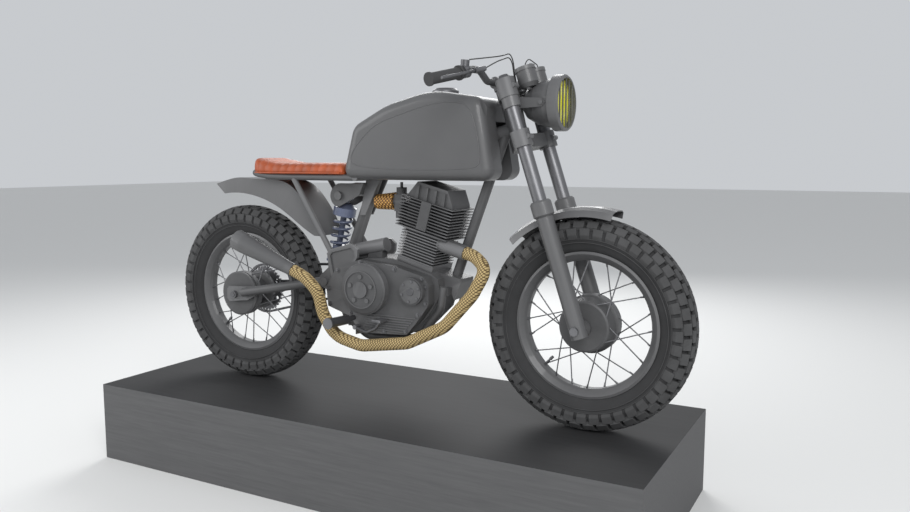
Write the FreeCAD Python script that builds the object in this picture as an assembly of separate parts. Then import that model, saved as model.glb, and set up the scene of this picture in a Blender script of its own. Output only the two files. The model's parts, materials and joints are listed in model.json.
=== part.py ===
"""Brat style motorcycle on a display plinth, modelled at full size in millimetres.

Bike frame while modelling: X forward from the rear axle, Y to the rider's left, Z up from the
plinth's top. Every solid is moved to the row frame as it is saved: +Z up, origin on the floor
under the middle of the whole object.
"""
import FreeCAD, Part
import math
import os

V = FreeCAD.Vector

# ---- driving dimensions -------------------------------------------------------------------
WHEELBASE = 1375.0
TYRE_R = 335.0
TYRE_HALF_W = 57.0
TYRE_WALL = 12.0
BEAD_R = 231.0
BEAD_HALF_W = 33.0
RIM_INNER_R = 202.0
RIM_WALL = 3.0
SPOKES_PER_FLANGE = 12
SPOKE_R = 2.0

RAKE_DEG = 18.3              # steering axis, from vertical
FORK_OFFSET = 45.0           # fork legs ahead of the steering axis
FORK_HALF_GAP = 100.0        # half the distance between fork leg centres
STEER_LIMIT_DEG = 30.0       # each way, at the stops
TANK_CLEARANCE = 8.0         # round the fork legs at the steering stops
STANCHION_R = 21.5
SLIDER_R = 26.0
DUST_SEAL_R = 33.0
CLAMP_RING_R = 30.0
HEAD_TUBE_R = 30.0
STEM_R = 14.0

AXLE_R = 8.0
FIT_GAP = 0.3                # between pieces that seat on each other
RUNNING_GAP = 0.1            # radial, shaft in bore
SPIN_GAP = 5.0               # between what turns and what stands still

FRONT_HUB_R = 80.0
FRONT_DRUM_R = 93.0
REAR_HUB_R = 84.0
SPROCKET_R = 85.0
FRONT_SPROCKET_R = 32.0
CHAIN_HALF_W = 6.5
CHAIN_HALF_T = 6.0
CHAIN_Y = 76.0

TANK_HALF_W = 125.0
TANK_EDGE_R = 34.0
TUNNEL_HALF_W = 38.0
SEAT_HALF_W = 116.0
SEAT_THICK = 36.0
LOOP_TUBE_R = 11.0
LOOP_HALF_W = 100.0
SPINE_R = 22.0
DOWN_TUBE_R = 17.0
SEAT_TUBE_R = 21.0
STAY_R = 10.0
CRADLE_R = 13.0
CRADLE_HALF_W = 78.0
PLATE_Y = 112.0
PLATE_T = 8.0
SWINGARM_R = 16.0

CYLINDER_TILT_DEG = 15.0
CYLINDER_HALF = 74.0
CYLINDER_H = 101.0
HEAD_H = 105.0
HEAD_HALF_LEN = 102.0
HEAD_HALF_W = 76.0
ROCKER_H = 54.0
FIN_T = 3.2
FIN_PITCH = 10.0

EXHAUST_R = 21.0
SILENCER_END_R = 37.0
HEADLAMP_R = 86.0
GRIP_R = 17.0
BAR_R = 11.0
BAR_HALF_W = 362.0

PLINTH_LEN = 2070.0
PLINTH_HALF_W = 388.0
PLINTH_H = 286.0
PLINTH_WALL = 18.0
PLINTH_REAR_OVERHANG = 70.0  # plinth's rear end behind the rear tyre

STAND_LENGTH = 205.0
STAND_SPLAY_DEG = 20.0

# ---- places that follow from them ---------------------------------------------------------
AXLE_Z = TYRE_R + FIT_GAP
REAR_AXLE = V(0, 0, AXLE_Z)
FRONT_AXLE = V(WHEELBASE, 0, AXLE_Z)
PLINTH_REAR_X = -TYRE_R - PLINTH_REAR_OVERHANG
MIDDLE_X = (PLINTH_REAR_X + max(WHEELBASE + TYRE_R, PLINTH_REAR_X + PLINTH_LEN)) / 2
TO_ROW = V(-MIDDLE_X, 0, PLINTH_H)

RAKE = math.radians(RAKE_DEG)
FORK_UP = V(-math.sin(RAKE), 0, math.cos(RAKE))
FORK_AHEAD = V(math.cos(RAKE), 0, math.sin(RAKE))
LEG_BOTTOM = -26.0
SLIDER_TOP = 360.0
SEAL_TOP = 405.0
LOWER_CLAMP = (577.0, 628.0)
UPPER_CLAMP = (734.0, 792.0)
LEG_TOP = 800.0
HEAD_TUBE = (LOWER_CLAMP[1] + 2.0, UPPER_CLAMP[0] + 8.0)

PIVOT = V(448, 0, 420)
FRONT_SPROCKET = V(560, 0, 425)
CYLINDER_BASE = V(785, 0, 506)
TILT = math.radians(CYLINDER_TILT_DEG)
CYL_UP = V(math.sin(TILT), 0, math.cos(TILT))
CYL_AHEAD = V(math.cos(TILT), 0, -math.sin(TILT))
DOWN_TUBE_FOOT = V(907, 0, 450)
DOWN_TUBE_HEAD = V(1090, 0, 936)
SPINE_FRONT = V(1125, 0, 942)
SPINE_REAR = V(592, 0, 812)
SEAT_TUBE_FOOT = V(470, 0, 489)
RAIL_Z = 783.0
SEAT_BASE_Z = RAIL_Z + LOOP_TUBE_R
SHOCK_TOP = V(462, 0, 718)
SHOCK_FOOT = V(398, 0, 436)
HEADLAMP = V(1262, 0, 1017)
SILENCER_FRONT = V(357, -183, 461)
SILENCER_REAR = V(108, -190, 558)
SILENCER_BORE_R = SILENCER_END_R - 8
STAND_PIVOT = V(600, CRADLE_HALF_W + 30, 236)


# ---- shape helpers ------------------------------------------------------------------------
def cylinder(start, end, radius):
    """A round bar from start to end."""
    return Part.makeCylinder(radius, (end - start).Length, start, end - start)


def cone(start, end, r_start, r_end):
    return Part.makeCone(r_start, r_end, (end - start).Length, start, end - start)


def ring(start, end, radius, bore):
    return cylinder(start, end, radius).cut(cylinder(start, end, bore))


def slab(outline, y_low, y_high):
    """A plate: an outline of (x, z) points, from y_low to y_high."""
    points = [V(x, y_low, z) for x, z in outline]
    face = Part.Face(Part.makePolygon(points + points[:1]))
    return face.extrude(V(0, y_high - y_low, 0))


def smooth_slab(runs, y_low, y_high):
    """A plate whose edge is made of runs of (x, z) points: a run of 2 is straight, more is a spline."""
    edges = []
    for run in runs:
        points = [V(x, y_low, z) for x, z in run]
        if len(points) == 2:
            edges.append(Part.makeLine(*points))
        else:
            curve = Part.BSplineCurve()
            curve.interpolate(points)
            edges.append(curve.toShape())
    face = Part.Face(Part.Wire(edges))
    return face.extrude(V(0, y_high - y_low, 0))


def spun(profile, centre):
    """Turns a closed profile of (radius, y) points about the Y axis through centre."""
    points = [centre + V(r, y, 0) for r, y in profile]
    face = Part.Face(Part.makePolygon(points + points[:1]))
    return face.revolve(centre, V(0, 1, 0), 360)


def bent_path(points, bend):
    """Straight runs joined by tangent arcs of one radius, less where a run is short."""
    edges, last = [], points[0]
    for before, corner, after in zip(points, points[1:], points[2:]):
        into, out = (corner - before), (after - corner)
        half_turn = into.getAngle(out) / 2
        radius = min(bend, 0.48 * min(into.Length, out.Length) / math.tan(half_turn))
        back = radius * math.tan(half_turn)
        u, w = V(into).normalize(), V(out).normalize()
        start, end = corner - u * back, corner + w * back
        bisector = (w - u).normalize()
        middle = corner + bisector * (radius / math.cos(half_turn) - radius)
        if (start - last).Length > 1e-6:
            edges.append(Part.makeLine(last, start))
        edges.append(Part.Arc(start, middle, end).toShape())
        last = end
    edges.append(Part.makeLine(last, points[-1]))
    return Part.Wire(edges)


def pipe(points, radius, bend):
    """A solid round tube along a bent path."""
    path = bent_path(points, bend)
    circle = Part.makeCircle(radius, points[0], points[1] - points[0])
    return path.makePipeShell([Part.Wire(circle)], True, False)


def mirrored(shape):
    return shape.mirror(V(0, 0, 0), V(0, 1, 0))


def both_sides(shape):
    """The shape and its mirror across the bike, as solids that do not touch."""
    return Part.makeCompound([shape, mirrored(shape)])


def fused(first, *others):
    return first.fuse(list(others)).removeSplitter()


def fork(along, ahead, y):
    """A point given along the fork legs from the front axle, ahead of them, and across."""
    return FRONT_AXLE + FORK_UP * along + FORK_AHEAD * ahead + V(0, y, 0)


def cylinder_frame(up, ahead, y):
    """A point given along the engine's cylinder from its base, ahead of its middle, and across."""
    return CYLINDER_BASE + CYL_UP * up + CYL_AHEAD * ahead + V(0, y, 0)


def tilted_slab(outline, y_low, y_high):
    """A plate whose outline is given in the engine cylinder's frame as (ahead, up) points."""
    points = [cylinder_frame(up, ahead, 0) for ahead, up in outline]
    return slab([(p.x, p.z) for p in points], y_low, y_high)


def tilted_box(up, ahead, y):
    """A box in the engine cylinder's frame, from three (low, high) pairs."""
    corners = [(ahead[0], up[0]), (ahead[1], up[0]), (ahead[1], up[1]), (ahead[0], up[1])]
    return tilted_slab(corners, y[0], y[1])


# ---- wheels -------------------------------------------------------------------------------
def tyre(centre):
    wall = TYRE_WALL
    outer = [(BEAD_R, -BEAD_HALF_W), (258, -48), (285, -TYRE_HALF_W), (312, -TYRE_HALF_W + 3),
             (TYRE_R - 7, -38), (TYRE_R - 1, -18), (TYRE_R, 0)]
    outer += [(r, -y) for r, y in reversed(outer[:-1])]
    inner = [(BEAD_R, BEAD_HALF_W - wall / 2), (258, 48 - wall), (285, TYRE_HALF_W - wall),
             (305, TYRE_HALF_W - wall), (TYRE_R - 9 - wall, 22), (TYRE_R - 4 - wall, 0)]
    inner += [(r, -y) for r, y in reversed(inner[:-1])]
    return spun(outer + inner, centre)


def rim(centre):
    half = BEAD_HALF_W - RIM_WALL
    seat = BEAD_R - FIT_GAP
    profile = [(RIM_INNER_R, -12), (seat - 14, -24), (seat - RIM_WALL, -28), (seat - RIM_WALL, -half),
               (seat + 10, -half - 5), (seat + 10, -half - 8), (seat - 6, -half - 8),
               (seat - 12, -half), (seat - 20, -half), (RIM_INNER_R - 3, -16)]
    flange = [(RIM_INNER_R, 12), (seat - 14, 24), (seat - RIM_WALL, 28), (seat - RIM_WALL, half)]
    del profile[3:7]
    outline = [(seat, -half), (seat, half), (seat - 8, half + 3), (RIM_INNER_R + 6, 20),
               (RIM_INNER_R, 12), (RIM_INNER_R, -12), (RIM_INNER_R + 6, -20), (seat - 8, -half - 3)]
    return spun(outline, centre)


def spokes(centre, flange_r_right, flange_y_right, flange_r_left, flange_y_left):
    """Crossed spokes from both hub flanges to the rim, clear of each other where they cross."""
    made = []
    step = 2 * math.pi / SPOKES_PER_FLANGE
    for side, flange_r, flange_y in ((-1, flange_r_right, flange_y_right), (1, flange_r_left, flange_y_left)):
        for n in range(SPOKES_PER_FLANGE):
            lean = 1 if n % 2 else -1
            rim_angle = n * step + (0 if side < 0 else step / 2)
            hub_angle = rim_angle + lean * math.radians(33)
            hub_y = side * flange_y + lean * 3.0
            inner = centre + V(flange_r * math.cos(hub_angle), hub_y, flange_r * math.sin(hub_angle))
            reach = RIM_INNER_R + 2
            outer = centre + V(reach * math.cos(rim_angle), side * 7 + lean * 2.2, reach * math.sin(rim_angle))
            made.append(cylinder(inner, outer, SPOKE_R))
    return Part.makeCompound(made)


def front_hub():
    bore = AXLE_R + RUNNING_GAP
    profile = [(bore, -66), (28, -66), (28, -54), (FRONT_HUB_R - 6, -50), (FRONT_HUB_R, -46),
               (FRONT_HUB_R, -34), (FRONT_DRUM_R - 6, 0), (FRONT_DRUM_R, 6), (FRONT_DRUM_R, 44),
               (FRONT_DRUM_R - 8, 46), (FRONT_DRUM_R - 8, 30), (bore, 30)]
    return spun(profile, FRONT_AXLE)


def front_brake_plate():
    """The drum's fixed cover on the left, with the boss that meets the fork leg."""
    plate_r = FRONT_DRUM_R - 8 - SPIN_GAP
    inner_y = 30 + SPIN_GAP
    profile = [(AXLE_R + RUNNING_GAP, inner_y), (plate_r, inner_y), (plate_r, 52), (plate_r - 10, 58),
               (30, 62), (30, FORK_HALF_GAP - SLIDER_R - 2), (AXLE_R + RUNNING_GAP, FORK_HALF_GAP - SLIDER_R - 2)]
    plate = spun(profile, FRONT_AXLE)
    arm = slab([(WHEELBASE - 52, AXLE_Z + 46), (WHEELBASE - 38, AXLE_Z + 40),
                (WHEELBASE - 22, AXLE_Z + 74), (WHEELBASE - 34, AXLE_Z + 80)], 56, 64)
    return fused(plate, arm)


def rear_hub():
    bore = AXLE_R + RUNNING_GAP
    profile = [(bore, -50), (REAR_HUB_R - 8, -50), (REAR_HUB_R - 8, -62), (REAR_HUB_R, -60), (REAR_HUB_R, -40),
               (52, -30), (46, 0), (52, 26), (REAR_HUB_R - 10, 34), (REAR_HUB_R - 10, 46), (56, 50),
               (56, CHAIN_Y - 4), (24, CHAIN_Y - 4), (24, 82), (bore, 82)]
    return spun(profile, REAR_AXLE)


def rear_sprocket():
    """Toothed ring bolted to the hub's left side."""
    teeth = 34
    tip, root = SPROCKET_R + 3.0, SPROCKET_R - 5.0
    points = []
    for n in range(teeth):
        for share, radius in ((0.0, root), (0.3, root), (0.45, tip), (0.85, tip)):
            angle = 2 * math.pi * (n + share) / teeth
            points.append((radius * math.cos(angle), AXLE_Z + radius * math.sin(angle)))
    disc = slab(points, CHAIN_Y - 4 + 0.01, CHAIN_Y + 3)
    holes = [cylinder(V(0, 60, AXLE_Z), V(0, 90, AXLE_Z), 24.0 + RUNNING_GAP)]
    for n in range(6):
        angle = math.pi * (n + 0.5) / 3
        at = V(68 * math.cos(angle), 60, AXLE_Z + 68 * math.sin(angle))
        holes.append(cylinder(at, at + V(0, 30, 0), 7.5))
    return disc.cut(holes)


def rear_axle():
    shaft = cylinder(REAR_AXLE - V(0, 112, 0), REAR_AXLE + V(0, 112, 0), AXLE_R)
    nuts = [Part.makeCylinder(14, 12, REAR_AXLE + V(0, y, 0), V(0, 1, 0)) for y in (-110.3, 98.3)]
    return fused(shaft, *nuts)


def front_axle():
    reach = FORK_HALF_GAP + SLIDER_R
    shaft = cylinder(FRONT_AXLE - V(0, reach, 0), FRONT_AXLE + V(0, reach, 0), AXLE_R)
    nuts = [Part.makeCylinder(13, 10, FRONT_AXLE + V(0, y, 0), V(0, 1, 0)) for y in (-reach - 10, reach)]
    spacers = [ring(FRONT_AXLE + V(0, y, 0), FRONT_AXLE + V(0, y + 6, 0), 14, AXLE_R) for y in (-FORK_HALF_GAP + SLIDER_R + 0.2,)]
    return fused(shaft, *nuts, *spacers)


# ---- steering -----------------------------------------------------------------------------
def fork_tubes():
    leg = cylinder(fork(SLIDER_TOP + 20, 0, -FORK_HALF_GAP), fork(LEG_TOP - 6, 0, -FORK_HALF_GAP), STANCHION_R)
    cap = cone(fork(LEG_TOP - 6, 0, -FORK_HALF_GAP), fork(LEG_TOP + 4, 0, -FORK_HALF_GAP), STANCHION_R, 15)
    return both_sides(fused(leg, cap))


def fork_sliders():
    y = -FORK_HALF_GAP
    barrel = cylinder(fork(LEG_BOTTOM, 0, y), fork(SLIDER_TOP, 0, y), SLIDER_R)
    flare = cone(fork(SLIDER_TOP - 7, 0, y), fork(SLIDER_TOP, 0, y), SLIDER_R, DUST_SEAL_R)
    seal = cylinder(fork(SLIDER_TOP, 0, y), fork(SEAL_TOP - 6, 0, y), DUST_SEAL_R)
    lip = cone(fork(SEAL_TOP - 6, 0, y), fork(SEAL_TOP, 0, y), DUST_SEAL_R, DUST_SEAL_R - 5)
    body = fused(barrel, flare, seal, lip)
    well = cylinder(fork(SLIDER_TOP + 20, 0, y), fork(SEAL_TOP + 10, 0, y), STANCHION_R + RUNNING_GAP)
    axle_hole = cylinder(FRONT_AXLE + V(0, y - 60, 0), FRONT_AXLE + V(0, y + 60, 0), AXLE_R + RUNNING_GAP)
    flat = Part.makeBox(120, 60, 120, FRONT_AXLE + V(-60, y - SLIDER_R - 60, -60))
    return both_sides(body.cut([well, axle_hole, flat]))


def clamp(span, plate_low, plate_high, rear_reach):
    """A fork clamp: two split rings and the bridge between them, bored for legs and stem."""
    y = FORK_HALF_GAP
    rings = [cylinder(fork(span[0], 0, s * y), fork(span[1], 0, s * y), CLAMP_RING_R) for s in (-1, 1)]
    boss = cylinder(fork(plate_low, -FORK_OFFSET, 0), fork(plate_high, -FORK_OFFSET, 0), rear_reach)
    outline = [fork(plate_low, -FORK_OFFSET - 24, -30), fork(plate_low, -24, -y - 8),
               fork(plate_low, 20, -y - 8), fork(plate_low, -6, 0), fork(plate_low, 20, y + 8),
               fork(plate_low, -24, y + 8), fork(plate_low, -FORK_OFFSET - 24, 30)]
    bridge = Part.Face(Part.makePolygon(outline + outline[:1])).extrude(FORK_UP * (plate_high - plate_low))
    pinch = []
    for s in (-1, 1):
        middle = (span[0] + span[1]) / 2
        pinch.append(cylinder(fork(middle, 26, s * (y - 19)), fork(middle, 26, s * (y + 17)), 8))
    body = fused(rings[0], rings[1], boss, bridge, *pinch)
    bores = [cylinder(fork(span[0] - 9, 0, s * y), fork(span[1] + 9, 0, s * y), STANCHION_R) for s in (-1, 1)]
    return body.cut(bores)


def lower_clamp():
    body = clamp(LOWER_CLAMP, LOWER_CLAMP[0] + 4, LOWER_CLAMP[1] - 4, 36)
    race = cylinder(fork(LOWER_CLAMP[1] - 4, -FORK_OFFSET, 0), fork(LOWER_CLAMP[1], -FORK_OFFSET, 0), 24)
    stem = cylinder(fork(LOWER_CLAMP[1] - 4, -FORK_OFFSET, 0), fork(UPPER_CLAMP[1] - 8, -FORK_OFFSET, 0), STEM_R)
    foot = cylinder(fork(LOWER_CLAMP[0] - 8, -FORK_OFFSET, 0), fork(LOWER_CLAMP[0] + 4, -FORK_OFFSET, 0), 17)
    return fused(body, race, stem, foot)


def upper_clamp():
    low, high = UPPER_CLAMP[0] + 12, UPPER_CLAMP[1] - 14
    body = clamp(UPPER_CLAMP, low, high, 32)
    stem_hole = cylinder(fork(low - 9, -FORK_OFFSET, 0), fork(high + 9, -FORK_OFFSET, 0), STEM_R + RUNNING_GAP)
    body = body.cut(stem_hole)
    nut = ring(fork(high, -FORK_OFFSET, 0), fork(high + 9, -FORK_OFFSET, 0), 19, STEM_R + RUNNING_GAP)
    return fused(body, nut)


BAR_MIDDLE = fork(UPPER_CLAMP[1] + 13, -FORK_OFFSET - 8, 0)


def bar_points(side):
    """The handlebar's centre line on one side, from the middle out."""
    m = BAR_MIDDLE
    return [m, m + V(0, side * 108, 0), m + V(3, side * 165, 28), m + V(0, side * 205, 27),
            m + V(-18, side * 250, 14), m + V(-54, side * BAR_HALF_W, -12)]


def handlebar():
    points = list(reversed(bar_points(-1))) + bar_points(1)[1:]
    bar = pipe([p for n, p in enumerate(points) if n != 5], BAR_R, 45)
    clamps = []
    for y in (-42, 42):
        at = BAR_MIDDLE + V(0, y, 0)
        clamps.append(cylinder(at - V(0, 11, 0), at + V(0, 11, 0), 19))
        base = fork(UPPER_CLAMP[1] - 14 + FIT_GAP, -FORK_OFFSET - 8, y)
        clamps.append(Part.makeCylinder(13, (at - base).Length, base, FORK_UP))
    return fused(bar, *clamps)


def grip_span(side):
    points = bar_points(side)
    outward = (points[-1] - points[-2]).normalize()
    return points[-1], outward


def grips():
    made = []
    for side in (-1, 1):
        end, outward = grip_span(side)
        start = end - outward * 118
        sleeve = ring(start, end + outward * 4, GRIP_R, BAR_R + RUNNING_GAP)
        collar = ring(start, start + outward * 6, GRIP_R + 5, BAR_R + RUNNING_GAP)
        end_cap = cylinder(end + outward * 0.2, end + outward * 7, GRIP_R + 3)
        made.append(fused(sleeve, collar, end_cap))
    return Part.makeCompound(made)


def hand_levers():
    """On each side a perch clamped to the bar, its small reservoir or adjuster, and the lever blade."""
    made = []
    for side in (-1, 1):
        end, outward = grip_span(side)
        perch = end - outward * 140
        ahead = V(math.cos(RAKE), 0, math.sin(RAKE) * 0.2).normalize()
        clamp_ring = ring(perch - outward * 11, perch + outward * 11, 19, BAR_R + RUNNING_GAP)
        arm = cylinder(perch + ahead * 15, perch + ahead * 42 + V(0, 0, 2), 8)
        barrel = cylinder(perch + ahead * 40 - outward * 34, perch + ahead * 40 + outward * 10, 8)
        blade = pipe([perch + ahead * 40 + outward * 8, perch + ahead * 50 + outward * 40,
                      perch + ahead * 46 + outward * 150], 4.5, 60)
        pot = cylinder(perch + V(0, 0, 12), perch + V(2, 0, 34), 13)
        made.append(fused(clamp_ring, arm, barrel, blade, pot))
    return Part.makeCompound(made)


def headlamp_shell():
    """The bowl, its rim, the bars over the lens, and the ears that hold it on the fork legs."""
    c = HEADLAMP
    outside = [(-114, 0), (-110, 24), (-94, 46), (-62, 64), (-24, 74), (-4, 77), (-4, HEADLAMP_R),
               (26, HEADLAMP_R), (30, HEADLAMP_R - 4), (30, HEADLAMP_R - 10), (6, HEADLAMP_R - 10), (6, 71)]
    inside = [(-24, 70), (-60, 60), (-90, 43), (-105, 22), (-109, 0)]
    points = [c + V(x, 0, r) for x, r in outside + inside]
    bowl = Part.Face(Part.makePolygon(points + points[:1])).revolve(c, V(1, 0, 0), 360)
    bars = []
    for n in range(-2, 3):
        y = n * 26
        half = math.sqrt((HEADLAMP_R - 8) ** 2 - y ** 2)
        bars.append(Part.makeBox(4, 3, 2 * half, c + V(24.5, y - 1.5, -half)))
    ears = []
    for s in (-1, 1):
        along = (HEADLAMP.z - AXLE_Z) / math.cos(RAKE)
        sleeve = ring(fork(along - 16, 0, s * FORK_HALF_GAP), fork(along + 16, 0, s * FORK_HALF_GAP), 27, STANCHION_R)
        tab = slab([(1165, 1000), (1240, 1004), (1250, 1017), (1240, 1030), (1162, 1034)],
                   min(s * 74.6, s * 77.4), max(s * 74.6, s * 77.4))
        bolt = cylinder(V(1238, s * 68, 1017), V(1238, s * 84, 1017), 7)
        ears += [sleeve, tab, bolt]
    return fused(bowl, *bars, *ears)


def headlamp_lens():
    c = HEADLAMP
    outline = [(6.3, 0), (6.3, HEADLAMP_R - 11), (13, HEADLAMP_R - 11), (20, 50), (23.5, 24), (24, 0)]
    points = [c + V(x, 0, r) for x, r in outline]
    return Part.Face(Part.makePolygon(points + points[:1])).revolve(c, V(1, 0, 0), 360)


def instruments():
    """Speedometer and rev counter on one bracket ahead of the upper clamp."""
    made = []
    for s in (-1, 1):
        low, high = fork(752, 50, s * 40), fork(812, 50, s * 40)
        made += [cone(low, fork(764, 50, s * 40), 22, 31), cylinder(fork(764, 50, s * 40), high, 31),
                 ring(high - FORK_UP * 8, high + FORK_UP * 4, 33, 29)]
    bracket = cylinder(fork(748, 50, -58), fork(748, 50, 58), 5)
    stalk = cylinder(fork(758, -8, 0), fork(748, 52, 0), 7)
    return fused(bracket, stalk, *made)


def control_cables():
    """Cables from the hand levers, over the instruments and down behind the headlamp."""
    made = []
    for side, spread in ((-1, 10), (1, 10)):
        end, outward = grip_span(side)
        perch = end - outward * 140
        ahead = V(math.cos(RAKE), 0, math.sin(RAKE) * 0.2).normalize()
        start = perch + ahead * 40 - outward * 34.5
        for lift, shift in ((0, 0), (26, 14)):
            points = [start + V(0, 0, 0) if lift == 0 else perch + V(8, -side * 14, 36),
                      start - outward * (40 + shift) + V(10, 0, 14 + lift / 2),
                      fork(858 + lift / 2, 30, side * (66 - shift)),
                      fork(800, 9, side * (40 - shift / 2)),
                      fork(718, 10, side * (54 - shift / 2)),
                      fork(LOWER_CLAMP[1] - 4 + FIT_GAP, 0, side * (50 - shift / 2))]
            made.append(pipe(points, 1.8, 60))
    return Part.makeCompound(made)


def front_fender():
    """A short crowned guard on the fork legs, with a stay to each slider."""
    outer_r, wall, half = 368.0, 3.0, 60.0
    outer = [(outer_r - 30, -half), (outer_r - 10, -half + 6), (outer_r - 2, -half + 24), (outer_r, 0)]
    outer += [(r, -y) for r, y in reversed(outer[:-1])]
    inner = [(r - wall if abs(y) < 50 else r, y * (half - wall) / half) for r, y in reversed(outer)]
    points = [FRONT_AXLE + V(r, y, 0) for r, y in outer + inner]
    start, sweep = 76.0, 58.0
    face = Part.Face(Part.makePolygon(points + points[:1]))
    face.rotate(FRONT_AXLE, V(0, 1, 0), -start - sweep)
    guard = face.revolve(FRONT_AXLE, V(0, 1, 0), sweep)
    stays = []
    for s in (-1, 1):
        at = fork(345, 0, s * (FORK_HALF_GAP - SLIDER_R - RUNNING_GAP))
        foot = fork(345, 0, s * (half - 8))
        stays.append(cylinder(at, foot, 7))
    return fused(guard, *stays)


# ---- frame --------------------------------------------------------------------------------
def head_tube():
    axis = (fork(HEAD_TUBE[0], -FORK_OFFSET, 0), fork(HEAD_TUBE[1], -FORK_OFFSET, 0))
    return ring(axis[0], axis[1], HEAD_TUBE_R, STEM_R + 1.0)


def head_tube_core():
    return cylinder(fork(HEAD_TUBE[0] - 5, -FORK_OFFSET, 0), fork(HEAD_TUBE[1] + 5, -FORK_OFFSET, 0), HEAD_TUBE_R)


def spine_tube():
    tube = cylinder(SPINE_REAR, SPINE_FRONT, SPINE_R)
    return tube.cut(head_tube_core())


def down_tube():
    """The tube from the head to the engine, with the plates that grip the engine's front."""
    tube = cylinder(DOWN_TUBE_FOOT, DOWN_TUBE_HEAD, DOWN_TUBE_R)
    plates = slab([(862, 470), (948, 452), (946, 436), (922, 380), (908, 420), (860, 432)], -46, 46)
    hollow = slab([(800, 480), (893, 462), (893, 428), (800, 440)], -38, 38)
    body = fused(tube, plates.cut(hollow))
    return body.cut([head_tube_core(), cylinder(SPINE_REAR, SPINE_FRONT, SPINE_R)])


def seat_tube():
    """Seat tube, its gussets, the shock's upper bracket and the cross tube at its foot."""
    top = V(600, 0, 806)
    tube = cylinder(SEAT_TUBE_FOOT, top, SEAT_TUBE_R)
    cross = cylinder(SEAT_TUBE_FOOT - V(0, PLATE_Y, 0), SEAT_TUBE_FOOT + V(0, PLATE_Y, 0), 14)
    gusset = slab([(562, 772), (632, 800), (555, 650), (534, 650)], 22, 27)
    cheek = smooth_slab([[(468, 762), (434, 744), (423, 716), (436, 688), (462, 680)],
                         [(462, 680), (548, 722)], [(548, 722), (566, 762)], [(566, 762), (468, 762)]], 44, 50)
    cheek = cheek.cut(cylinder(SHOCK_TOP + V(0, 30, 0), SHOCK_TOP + V(0, 60, 0), 8))
    box = slab([(520, 716), (548, 724), (566, 762), (500, 762)], -44, 44)
    bolt = cylinder(SHOCK_TOP - V(0, 60, 0), SHOCK_TOP + V(0, 60, 0), 8)
    heads = [cylinder(SHOCK_TOP + V(0, s * 50, 0), SHOCK_TOP + V(0, s * 60, 0), 15) for s in (-1, 1)]
    body = fused(tube, cross, gusset, mirrored(gusset), cheek, mirrored(cheek), box, bolt, *heads)
    return body.cut(cylinder(SPINE_REAR, SPINE_FRONT, SPINE_R))


def seat_loop():
    """The hoop under the seat and the cross bars that join it to the spine."""
    y, rear = LOOP_HALF_W, 118.0
    points = [V(566, -y, RAIL_Z), V(290, -y, RAIL_Z), V(190, -y, RAIL_Z + 2), V(rear, -y, RAIL_Z + 12),
              V(rear - 30, -y + 45, RAIL_Z + 17), V(rear - 30, y - 45, RAIL_Z + 17), V(rear, y, RAIL_Z + 12),
              V(190, y, RAIL_Z + 2), V(290, y, RAIL_Z), V(566, y, RAIL_Z)]
    hoop = pipe(points, LOOP_TUBE_R, 70)
    front_bar = cylinder(V(572, -y - LOOP_TUBE_R, RAIL_Z), V(572, y + LOOP_TUBE_R, RAIL_Z), LOOP_TUBE_R)
    middle_bar = cylinder(V(400, -y, RAIL_Z), V(400, y, RAIL_Z), 9)
    body = fused(hoop, front_bar, middle_bar)
    return body.cut([cylinder(SPINE_REAR, SPINE_FRONT, SPINE_R), cylinder(SEAT_TUBE_FOOT, V(600, 0, 806), SEAT_TUBE_R),
                     slab([(562, 772), (632, 800), (555, 650), (534, 650)], 22, 27),
                     slab([(562, 772), (632, 800), (555, 650), (534, 650)], -27, -22)])


def seat_stays():
    """The sloping stays from the hoop to the pivot plates."""
    top, foot = V(303, -LOOP_HALF_W - 2, RAIL_Z - 6), V(470, -PLATE_Y + 2, 520)
    stay = cylinder(foot, top, STAY_R)
    hoop_run = cylinder(V(100, -LOOP_HALF_W, RAIL_Z), V(600, -LOOP_HALF_W, RAIL_Z), LOOP_TUBE_R)
    plate = pivot_plate_solid()
    return both_sides(stay.cut([hoop_run, plate]))


def pivot_plate_solid():
    outline = [(424, 438), (428, 402), (452, 392), (500, 396), (524, 414), (588, 512), (590, 540),
               (572, 556), (556, 558), (472, 534), (460, 520), (462, 470)]
    return slab(outline, -PLATE_Y - PLATE_T, -PLATE_Y)


def pivot_plates():
    """Side plates that carry the swingarm, each with a raised triangular rim."""
    plate = pivot_plate_solid()
    outer = slab([(472, 534), (460, 520), (480, 430), (494, 418), (524, 414), (588, 512), (590, 540), (572, 556),
                  (556, 558)], -PLATE_Y - PLATE_T - 5, -PLATE_Y - PLATE_T)
    inner = slab([(482, 524), (474, 512), (490, 436), (500, 428), (514, 428), (574, 514), (575, 534), (562, 544)],
                 -PLATE_Y - PLATE_T - 6, -PLATE_Y - PLATE_T)
    head = cylinder(PIVOT - V(0, PLATE_Y + PLATE_T, 0), PIVOT - V(0, PLATE_Y + PLATE_T + 12, 0), 15)
    return both_sides(fused(plate, outer.cut(inner), head))


def cradle_rails():
    """The lower rails that pass under the engine from the front plates to the pivot plates."""
    y = -CRADLE_HALF_W
    rail = pipe([V(900, y, 428), V(890, y, 352), V(806, y, 246), V(600, y, 232), V(520, y - 20, 300),
                 V(500, y - 21, 392)], CRADLE_R, 55)
    tab = slab([(884, 424), (916, 424), (914, 398), (886, 398)], -CRADLE_HALF_W + 2, -46)
    body = fused(rail, tab)
    return both_sides(body)


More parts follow.
